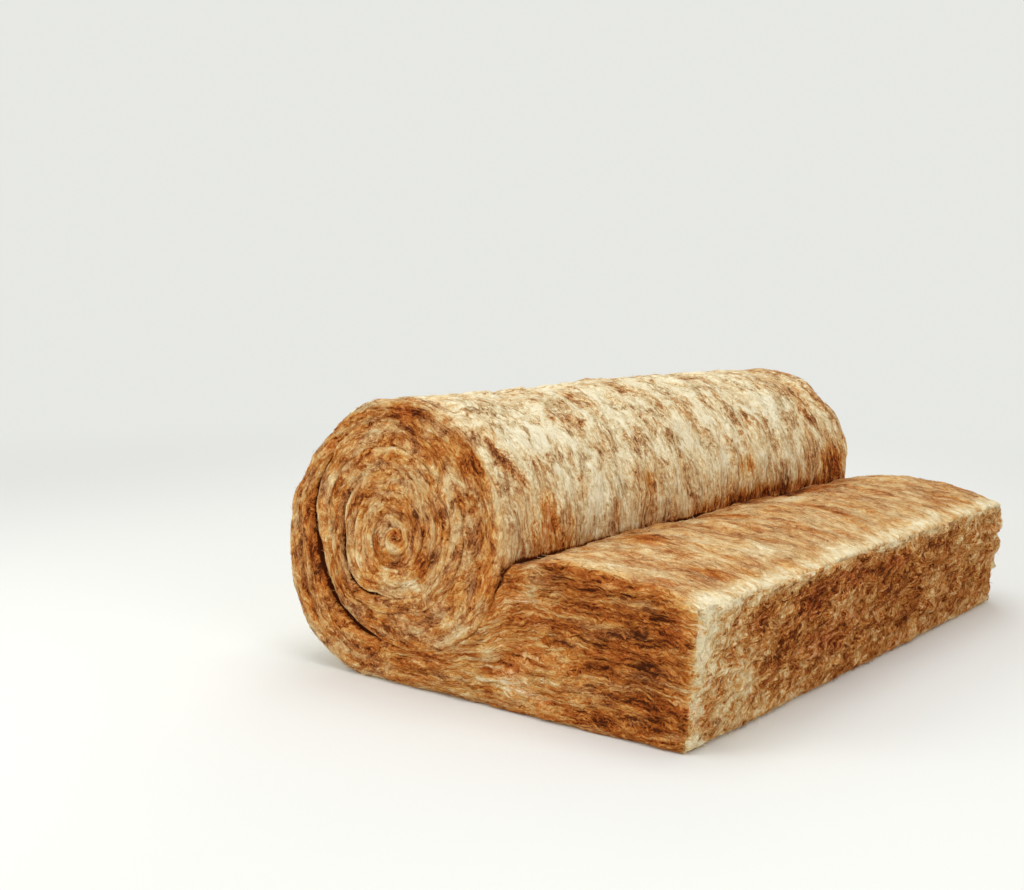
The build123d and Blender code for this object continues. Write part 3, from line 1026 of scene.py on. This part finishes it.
def fleeceGroup():
    # colour and height of the fleece at a place in the mat: along, across and through it
    tree = bpy.data.node_groups.new("fleece", "ShaderNodeTree")
    for name, side, kind in fleeceSockets:
        tree.interface.new_socket(name, in_out=side, socket_type="NodeSocket" + kind)
    given = node(tree, "NodeGroupInput").outputs
    out = node(tree, "NodeGroupOutput").inputs
    link = tree.links.new
    look, strength, height = fleeceLook, fleeceLook["strength"], fleeceLook["height"]

    def feed(sockets, values):
        for socket, value in zip(sockets, values):
            if isinstance(value, (float, tuple)):
                socket.default_value = value
            else:
                link(value, socket)

    def maths(operation, *values, clamp=False):
        made = node(tree, "ShaderNodeMath", operation=operation, use_clamp=clamp)
        feed(made.inputs, values)
        return made.outputs[0]

    def vectors(operation, *values):
        made = node(tree, "ShaderNodeVectorMath", operation=operation)
        feed(made.inputs, values)
        return made.outputs[0]

    def cloud(vector, layer, output="Fac"):
        scale, start, detail, roughness = look["layers"][layer]
        stretched = vectors("MULTIPLY_ADD", vector, scale, start)
        made = node(tree, "ShaderNodeTexNoise")
        names = ("Vector", "Scale", "Detail", "Roughness")
        feed([made.inputs[name] for name in names], (stretched, 1.0, detail, roughness))
        return made.outputs[output]

    def pushed(vector, layer, reach):
        centred = vectors("SUBTRACT", cloud(given["Flow"], layer, "Color"), (0.5, 0.5, 0.5))
        return vectors("ADD", vector, vectors("MULTIPLY", centred, reach))

    def blend(share, first, second):
        made = node(tree, "ShaderNodeMix")
        feed([made.inputs[name] for name in ("Factor", "A", "B")], (share, first, second))
        return made.outputs["Result"]

    def blendColours(share, first, second, **values):
        made = node(tree, "ShaderNodeMix", data_type="RGBA", **values)
        colours = [socket for socket in made.inputs if socket.type == "RGBA"]
        feed([made.inputs["Factor"], *colours], (share, first, second))
        return next(socket for socket in made.outputs if socket.type == "RGBA")

    def spread(value, amount):
        return maths("MULTIPLY", maths("SUBTRACT", value, 0.5), amount)

    def limited(value):
        return maths("MULTIPLY", value, 1.0, clamp=True)

    def ranged(value, start, end):
        made = node(tree, "ShaderNodeMapRange", interpolation_type="SMOOTHSTEP")
        feed([made.inputs[name] for name in ("Value", "From Min", "From Max")], (value, start, end))
        return made.outputs["Result"]

    def fold(value):
        # thin lines where the noise passes its middle
        away = maths("ABSOLUTE", maths("SUBTRACT", value, 0.5))
        return maths("SUBTRACT", 1.0, maths("MULTIPLY", away, look["foldThinness"]), clamp=True)

    def ramped(value, stops):
        ramp = node(tree, "ShaderNodeValToRGB")
        elements = ramp.color_ramp.elements
        elements.remove(elements[1])
        for at, colour in stops:
            stop = elements.new(at) if at else elements[0]
            stop.position, stop.color = at, (*colour, 1)
        link(value, ramp.inputs[0])
        return ramp.outputs["Color"]

    tint = node(tree, "ShaderNodeSeparateXYZ")
    link(given["Tint"], tint.inputs[0])
    pale, warm, matted = tint.outputs
    flow = pushed(given["Flow"], "bends", look["bendReach"])
    curled = pushed(flow, "curls", look["curlReach"])
    broad = cloud(flow, "broad")
    patches = blend(matted, cloud(flow, "combedPatches"), cloud(curled, "mattedPatches"))
    combed = maths("ADD", spread(cloud(curled, "combedStreaks"), look["combing"]), 0.5)
    streaks = blend(matted, combed, cloud(curled, "mattedStreaks"))
    fibres = blend(matted, cloud(curled, "combedFibres"), cloud(curled, "mattedFibres"))
    folds = blend(matted, fold(cloud(curled, "combedFolds")), fold(cloud(curled, "mattedFolds")))
    blots = blend(matted, cloud(flow, "combedBlots"), cloud(flow, "mattedBlots"))
    # slits open in the wool where it is combed, most of all where it is dark
    slits = cloud(flow, "slits")
    darkest = maths("MULTIPLY", ranged(pale, *look["darkWool"]), look["slitsInDark"])
    slits = ranged(maths("ADD", slits, darkest), *look["slitEdge"])
    slits = maths("MULTIPLY", slits, maths("SUBTRACT", 1.0, matted))
    folds = maths("MULTIPLY", folds, limited(spread(blots, look["foldsInBlots"])))
    marbled = ranged(patches, *look["marbling"])
    # combed wool is even, matted wool lies in patches, with its smears in the dark ones
    uneven = maths("ADD", maths("MULTIPLY", matted, look["unevenIf"]), look["uneven"])
    uneven = maths("ADD", maths("MULTIPLY", given["Crisp"], look["unevenIf"]), uneven)
    smears = maths("MULTIPLY", maths("SUBTRACT", look["smearsBelow"], marbled), matted)
    streaky = maths("ADD", smears, given["Crisp"])
    total = maths("ADD", maths("MULTIPLY", spread(marbled, strength["patches"]), uneven), pale)
    total = maths("ADD", total, maths("MULTIPLY", spread(broad, strength["broad"]), uneven))
    for layer, name in ((streaks, "streaks"), (fibres, "fibres")):
        total = maths("ADD", total, maths("MULTIPLY", spread(layer, strength[name]), streaky))
    # painted shade: the folds and slits, dented in the height below, also darken the colour
    crispFolds = maths("MULTIPLY", folds, given["Crisp"])
    total = maths("SUBTRACT", total, maths("MULTIPLY", crispFolds, strength["folds"]))
    total = maths("SUBTRACT", total, maths("MULTIPLY", slits, strength["slits"]))
    # painted shade: the deeper down in a crease, the darker the colour
    shaded = ranged(given["Sunk"], *look["creaseShade"])
    total = maths("SUBTRACT", total, maths("MULTIPLY", shaded, strength["creases"]))
    total = maths("ADD", total, given["Tone"], clamp=True)
    cream, rust = ramped(total, creamWool), ramped(total, rustWool)
    rusted = maths("ADD", warm, spread(blots, strength["blots"]))
    # painted shade in the creases also makes the colour warmer
    rusted = maths("ADD", rusted, maths("MULTIPLY", shaded, strength["creaseShadeWarmth"]))
    warmth = limited(rusted)
    redness = maths("MULTIPLY", maths("SUBTRACT", rusted, 1.0), strength["redness"], clamp=True)
    colour = blendColours(warmth, cream, rust)
    colour = blendColours(redness, colour, (*look["reddest"], 1.0), blend_type="MULTIPLY")
    link(colour, out["Colour"])
    raised = maths("ADD", spread(streaks, height["streaks"]), spread(fibres, height["fibres"]))
    raised = maths("ADD", raised, spread(patches, height["patches"]))
    raised = maths("SUBTRACT", raised, maths("MULTIPLY", folds, height["folds"]))
    link(maths("SUBTRACT", raised, slits), out["Height"])
    return tree


fleece = fleeceGroup()

finish = {"roughness": 0.92, "specular": 0.08, "bump": 0.8}


def woolMaterial(name, numbers, bumpHeight):
    # the numbers are the inputs of the fleece that the piece's mesh has an attribute for
    material = bpy.data.materials.new(name)
    material.use_nodes = True
    tree = material.node_tree
    link = tree.links.new
    shader = tree.nodes["Principled BSDF"].inputs
    shader["Roughness"].default_value = finish["roughness"]
    shader["Specular IOR Level"].default_value = finish["specular"]
    flow = node(tree, "ShaderNodeAttribute", attribute_name="flow")
    tintRead = node(tree, "ShaderNodeAttribute", attribute_name="tint")
    group = node(tree, "ShaderNodeGroup", node_tree=fleece)
    group.inputs["Crisp"].default_value = 1.0
    link(flow.outputs["Vector"], group.inputs["Flow"])
    link(tintRead.outputs["Vector"], group.inputs["Tint"])
    for number in numbers:
        numberRead = node(tree, "ShaderNodeAttribute", attribute_name=number.lower())
        link(numberRead.outputs["Fac"], group.inputs[number])
    link(group.outputs["Colour"], shader["Base Color"])
    bump = node(tree, "ShaderNodeBump")
    bump.inputs["Strength"].default_value = finish["bump"]
    bump.inputs["Distance"].default_value = bumpHeight
    link(group.outputs["Height"], bump.inputs["Height"])
    link(bump.outputs["Normal"], shader["Normal"])
    return material


matWool = woolMaterial("glass_wool_mat", ("Sunk", "Crisp"), 0.006)
fibreWool = woolMaterial("glass_wool_fibres", ("Tone",), 0.001)
blanket = meshObject("glass_wool_blanket", points, faces, matWool)
storeVectors(blanket.data, "flow", "CORNER", flows * (1, 1, mat["unrolled"]))
storeVectors(blanket.data, "tint", "POINT", tint)
storeNumbers(blanket.data, "sunk", sunk)
storeNumbers(blanket.data, "crisp", zoneShare @ np.array(wool["crisp"]))
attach(blanket, "root")
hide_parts("wool_blanket")

print("fibres")

corners = points[faces]
faceCross = np.cross(corners[:, 1] - corners[:, 0], corners[:, 2] - corners[:, 0])
faceArea = np.linalg.norm(faceCross, axis=1) / 2
faceNormal = faceCross / np.maximum(2 * faceArea, 1e-12)[:, None]


def alongFibres():
    # on each triangle, the direction in which the blanket runs
    travel = flows[:, :, 0]
    a = corners[:, 1] - corners[:, 0]
    b = corners[:, 2] - corners[:, 0]
    slope = np.cross(b, faceNormal) * (travel[:, 1] - travel[:, 0])[:, None]
    slope += np.cross(faceNormal, a) * (travel[:, 2] - travel[:, 0])[:, None]
    length = np.linalg.norm(slope, axis=1)
    return slope / np.maximum(length, 1e-12)[:, None]


fibreRun = alongFibres()
surface = BVHTree.FromPolygons(points.tolist(), faces.tolist())

fibreWays = {
    # on the coil's skin, its ends, the tail's sides, the tail's top, the cut, the underside
    "locks": (1.0, 1.0, 1.2, 1.0, 2.2, 0.0),  # how thickly they lie
    "strays": (0.7, 1.3, 1.3, 1.0, 4.5, 0.0),
    "wildness": (1.0, 2.0, 0.8, 1.0, 1.8, 1.0),  # how much more they stray from their way
    "slantOnCut": (0.0, -1.0, -0.45),  # their way over the cut end
    "shorterOnCut": 0.7,
    "steeperOnCut": 15.0,  # degrees
}
fibreCoats = {
    "locks_on_coil": {
        "zones": (coilSkin,),
        "count": 16000,
        "length": (0.010, 0.030),
        "width": (0.0003, 0.0007),
        "spread": 44.0,  # degrees to either side of the blanket's own run
        "skew": 12.0,  # degrees that they turn from it on the whole
        "curl": 0.30,  # how far they bend, for their length
        "tone": (0.02, 0.05),  # how much paler than the mat: mean and spread
        "lift": 0.0008,
    },
    "locks_on_ends": {
        "zones": (coilEnd, tailSide),
        "count": 16000,
        "length": (0.006, 0.018),
        "width": (0.0003, 0.0007),
        "spread": 30.0,
        "skew": 0.0,
        "curl": 0.30,
        "tone": (0.03, 0.08),
        "lift": 0.0008,
    },
    "locks_on_tail": {
        "zones": (tailTop, cutEnd),
        "count": 16000,
        "length": (0.010, 0.028),
        "width": (0.0003, 0.0008),
        "spread": 24.0,
        "skew": 6.0,
        "curl": 0.34,
        "tone": (0.03, 0.08),
        "lift": 0.0009,
    },
}


def turnAbout(vectors, axes, angles):
    # each vector turned about its own axis
    c, s = np.cos(angles)[:, None], np.sin(angles)[:, None]
    return vectors * c + np.cross(axes, vectors) * s + axes * (vectors * axes).sum(1)[:, None] * (1 - c)


def strandMesh(name, paths, normals, widths, flowValues, tints, tones, material):
    # thin closed locks: a tip, two three-sided rings and a tip
    count = len(paths)
    tangents = np.gradient(paths, axis=1)
    tangents /= np.maximum(np.linalg.norm(tangents, axis=2), 1e-9)[:, :, None]
    across = np.cross(tangents, normals)
    across /= np.maximum(np.linalg.norm(across, axis=2), 1e-9)[:, :, None]
    made = np.zeros((count, 8, 3))
    made[:, 0], made[:, 7] = paths[:, 0], paths[:, 3]
    half = (widths / 2)[:, None]
    for ring, first in ((1, 1), (2, 4)):
        base = paths[:, ring] - normals[:, ring] * half * 0.5
        made[:, first] = base + across[:, ring] * half
        made[:, first + 1] = base - across[:, ring] * half
        made[:, first + 2] = base + normals[:, ring] * half * 1.4
    pattern = [(0, 2, 1), (0, 3, 2), (0, 1, 3), (4, 5, 7), (5, 6, 7), (6, 4, 7)]
    for a, b in ((1, 2), (2, 3), (3, 1)):
        pattern += [(a, b, b + 3), (a, b + 3, a + 3)]
    triangles = np.array(pattern)[None] + 8 * np.arange(count)[:, None, None]
    made[:, :, 2] = np.maximum(made[:, :, 2], 0.0)
    piece = meshObject(name, made.reshape(-1, 3), triangles.reshape(-1, 3), material)
    storeVectors(piece.data, "flow", "POINT", np.repeat(flowValues, 8, 0))
    storeVectors(piece.data, "tint", "POINT", np.repeat(tints, 8, 0))
    storeNumbers(piece.data, "tone", np.repeat(tones, 8))
    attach(piece, "root")
    return piece


def pickRoots(random, zoneNames, count, weight=None):
    chosen = np.isin(zones, zoneNames)
    share = np.where(chosen, faceArea * (1 if weight is None else weight), 0)
    picked = random.choice(len(faces), count, p=share / share.sum())
    a, b = random.random((2, count))
    over = a + b > 1
    a[over], b[over] = 1 - a[over], 1 - b[over]
    mix = np.stack((1 - a - b, a, b), 1)[:, :, None]
    places = (corners[picked] * mix).sum(1)
    flow = (flows[picked] * mix).sum(1) * (1, 1, mat["unrolled"])
    return picked, places, flow, (tint[faces[picked]] * mix).sum(1)


openWool = sunk[faces].max(1) < 0.0045  # the faces that aren't down in a crease


def snap(paths, lift):
    # lays the paths on the wool, a little above it between their tips, and says which span no crease
    laid, normals = np.empty_like(paths), np.empty_like(paths)
    clear = np.ones(len(paths), dtype=bool)
    for i, path in enumerate(paths.tolist()):
        for k, point in enumerate(path):
            laid[i, k], normals[i, k], face, _ = surface.find_nearest(point)
            clear[i] &= openWool[face]
    return laid + normals * lift, normals, clear


def fibreRuns(random, picked, coat):
    # along the blanket, give or take; over the cut end they slant down it and lean every way
    normal, run = faceNormal[picked], fibreRun[picked]
    count = len(picked)
    slant = np.array(fibreWays["slantOnCut"])
    down = slant - normal * (normal @ slant)[:, None]
    down /= np.maximum(np.linalg.norm(down, axis=1), 1e-9)[:, None]
    run = np.where((zones[picked] == cutEnd)[:, None], down, run)
    wilder = np.array(fibreWays["wildness"])[zones[picked]]
    angles = np.radians(random.normal(coat["skew"], coat["spread"], count) * wilder)
    return normal, turnAbout(run, normal, angles)


def addLocks(name, coat, seed):
    random = np.random.default_rng(seed)
    count = coat["count"]
    weight = np.array(fibreWays["locks"])[zones]
    picked, places, flow, tints = pickRoots(random, coat["zones"], count, weight)
    onCutEnd = zones[picked] == cutEnd
    normal, run = fibreRuns(random, picked, coat)
    sideways = np.cross(normal, run)
    length = random.uniform(*coat["length"], count) * np.where(onCutEnd, fibreWays["shorterOnCut"], 1.0)
    length = length[:, None, None]
    bend, wave = np.clip(random.normal(0, 1, (2, count, 1, 1)), -2, 2) * coat["curl"] * length
    t = np.linspace(-0.5, 0.5, 4)[None, :, None]
    paths = places[:, None] + run[:, None] * length * t
    paths = paths + sideways[:, None] * (bend * (4 * t**2 - 0.5) + wave * 9 * t * (0.25 - t**2))
    arch = np.array((-0.4, 1.0, 1.0, -0.4))[None, :, None]
    paths, normals, clear = snap(paths, coat["lift"] * arch * random.uniform(0.1, 1.6, (count, 1, 1)))
    widths = random.uniform(*coat["width"], count)
    tones = random.normal(*coat["tone"], count)
    kept = [values[clear] for values in (paths, normals, widths, flow, tints, tones)]
    return strandMesh(name, *kept, fibreWool)


for seed, (name, coat) in enumerate(fibreCoats.items()):
    addLocks(name, coat, 40 + seed)
    print("  " + name)

strayFibres = {
    "count": 13000,
    "length": (0.005, 0.016),
    "width": (0.0003, 0.0007),
    "rise": (4.0, 30.0),  # degrees off the surface
    "spread": 34.0,
    "skew": 0.0,
    "tone": (0.08, 0.10),
}


def addStrays(coat, seed):
    random = np.random.default_rng(seed)
    count = coat["count"]
    weight = np.array(fibreWays["strays"])[zones]
    picked, places, flow, tints = pickRoots(random, range(5), count, weight * openWool)
    onCutEnd = zones[picked] == cutEnd
    normal, run = fibreRuns(random, picked, coat)
    rise = np.radians(random.uniform(*coat["rise"], count) + fibreWays["steeperOnCut"] * onCutEnd)
    length = random.uniform(*coat["length"], count)
    start = run * np.cos(rise)[:, None] + normal * np.sin(rise)[:, None]
    bend = random.normal(0, 0.35, (count, 3)) - normal * 0.35
    t = np.linspace(0, 1, 4)[None, :, None]
    paths = places[:, None] + length[:, None, None] * (start[:, None] * t + bend[:, None] * t**2 * 0.6)
    normals = np.repeat(normal[:, None], 4, 1)
    widths = random.uniform(*coat["width"], count)
    tones = random.normal(*coat["tone"], count)
    strandMesh("stray_fibres", paths, normals, widths, flow, tints, tones, fibreWool)


addStrays(strayFibres, 90)

print("floor and lights")

studio = {
    "paper": (0.80, 0.81, 0.78),  # floor and backdrop
    "floorSize": 60,
    "sky": (0.98, 0.97, 0.95),
    "ambient": 0.60,
    "shadowReach": (1.2, 3.6),  # from here to here the floor fades into the backdrop
    "aim": (0.1, 0, 0.2),  # where the lamps point
    # where each lamp is, its size and its power
    "lamps": {
        "overhead": ((0.2, -0.4, 3.2), 2.4, 46),
        "front": ((-1.6, -3.0, 1.5), 1.8, 41),
        "right": ((3.4, -1.6, 1.5), 2.0, 32),
        "back": ((-1.6, 2.8, 2.0), 2.2, 24),
    },
}


def seenDirectly(tree):
    # 1 for what the camera sees, also in a reflection or through glass
    ray = node(tree, "ShaderNodeLightPath")
    share = ray.outputs["Is Camera Ray"]
    for name in ("Is Glossy Ray", "Is Transmission Ray"):
        either = node(tree, "ShaderNodeMath", operation="MAXIMUM")
        tree.links.new(share, either.inputs[0])
        tree.links.new(ray.outputs[name], either.inputs[1])
        share = either.outputs[0]
    return share


def mixShaders(tree, share, first, second, output):
    # the second shader takes the share, and the mix goes to the output node
    mix = node(tree, "ShaderNodeMixShader")
    for socket, source in zip(mix.inputs, (share, first.outputs[0], second.outputs[0])):
        tree.links.new(source, socket)
    tree.links.new(mix.outputs[0], output.inputs["Surface"])


def addFloor():
    bpy.ops.object.select_all(action="DESELECT")
    bpy.ops.mesh.primitive_plane_add(size=studio["floorSize"], location=(0, 0, 0))
    floor = bpy.context.object
    floor.name = "floor"
    paint = bpy.data.materials.new("pale_floor")
    paint.use_nodes = True
    tree = paint.node_tree
    shader = tree.nodes["Principled BSDF"]
    shader.inputs["Base Color"].default_value = (*studio["paper"], 1)
    shader.inputs["Roughness"].default_value = 0.9
    shader.inputs["Specular IOR Level"].default_value = 0.1
    place = node(tree, "ShaderNodeTexCoord")
    away = node(tree, "ShaderNodeVectorMath", operation="LENGTH")
    fade = node(tree, "ShaderNodeMapRange", interpolation_type="SMOOTHSTEP")
    for name, reach in zip(("From Min", "From Max"), studio["shadowReach"]):
        fade.inputs[name].default_value = reach
    seen = node(tree, "ShaderNodeMath", operation="MULTIPLY")
    glow = node(tree, "ShaderNodeEmission")
    glow.inputs["Color"].default_value = (*studio["paper"], 1)
    tree.links.new(place.outputs["Object"], away.inputs[0])
    tree.links.new(away.outputs["Value"], fade.inputs["Value"])
    tree.links.new(fade.outputs["Result"], seen.inputs[0])
    tree.links.new(seenDirectly(tree), seen.inputs[1])
    mixShaders(tree, seen.outputs[0], shader, glow, tree.nodes["Material Output"])
    floor.data.materials.append(paint)


def addWorld():
    world = bpy.data.worlds.new("studio")
    bpy.context.scene.world = world
    world.use_nodes = True
    tree = world.node_tree
    light = tree.nodes["Background"]
    light.inputs["Color"].default_value = (*studio["sky"], 1)
    light.inputs["Strength"].default_value = studio["ambient"]
    paper = node(tree, "ShaderNodeBackground")
    paper.inputs["Color"].default_value = (*studio["paper"], 1)
    mixShaders(tree, seenDirectly(tree), light, paper, tree.nodes["World Output"])


def addLamps():
    for name, (place, size, power) in studio["lamps"].items():
        data = bpy.data.lights.new(name, "AREA")
        data.size, data.energy = size, power
        lamp = bpy.data.objects.new(name, data)
        lamp.location = place
        aim = Vector(studio["aim"]) - Vector(place)
        lamp.rotation_euler = aim.to_track_quat("-Z", "Y").to_euler()
        bpy.context.scene.collection.objects.link(lamp)


addFloor()
addWorld()
addLamps()
bpy.context.scene.view_settings.view_transform = "Standard"
